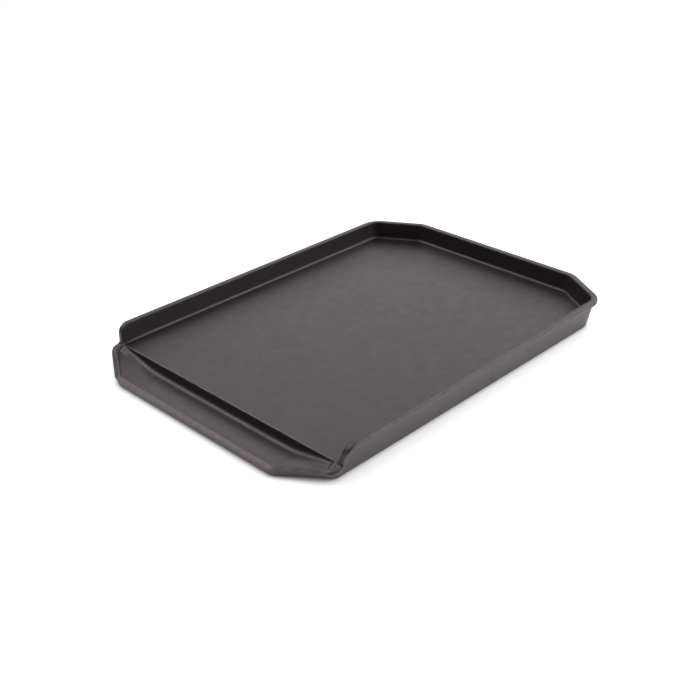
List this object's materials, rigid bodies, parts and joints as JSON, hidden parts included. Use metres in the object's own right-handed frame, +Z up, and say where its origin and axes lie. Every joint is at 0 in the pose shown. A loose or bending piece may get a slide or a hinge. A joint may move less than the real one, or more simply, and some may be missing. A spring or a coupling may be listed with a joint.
{
  "type": "griddle plate",
  "caption": "Cast-iron camp griddle plate: flat cooking floor with a rim on three sides, cut corners and a stepped-down grease trough with a low lip across the open end.",
  "frame": {"origin": "on the resting face, under the middle of the plate's length and width", "axes": "+X towards the closed far end, +Y towards the left side seen from the drain end, +Z up out of the cooking face"},
  "size_m": [0.444, 0.32, 0.0325],
  "materials": {
    "cast_iron": "matte black seasoned casting with a fine sandy grain"
  },
  "bodies": {
    "root": {"cooking_floor": "cast_iron", "left_wall": "cast_iron", "right_wall": "cast_iron", "far_wall": "cast_iron", "far_left_wall": "cast_iron", "far_right_wall": "cast_iron", "left_side_bend": "cast_iron", "right_side_bend": "cast_iron", "left_end_bend": "cast_iron", "right_end_bend": "cast_iron", "trough_step": "cast_iron", "trough_floor": "cast_iron", "trough_left_end": "cast_iron", "trough_right_end": "cast_iron", "front_lip": "cast_iron", "front_left_lip": "cast_iron", "front_right_lip": "cast_iron", "left_side_lip": "cast_iron", "right_side_lip": "cast_iron", "left_rib": "cast_iron", "middle_rib": "cast_iron", "right_rib": "cast_iron"}
  },
  "joints": []
}
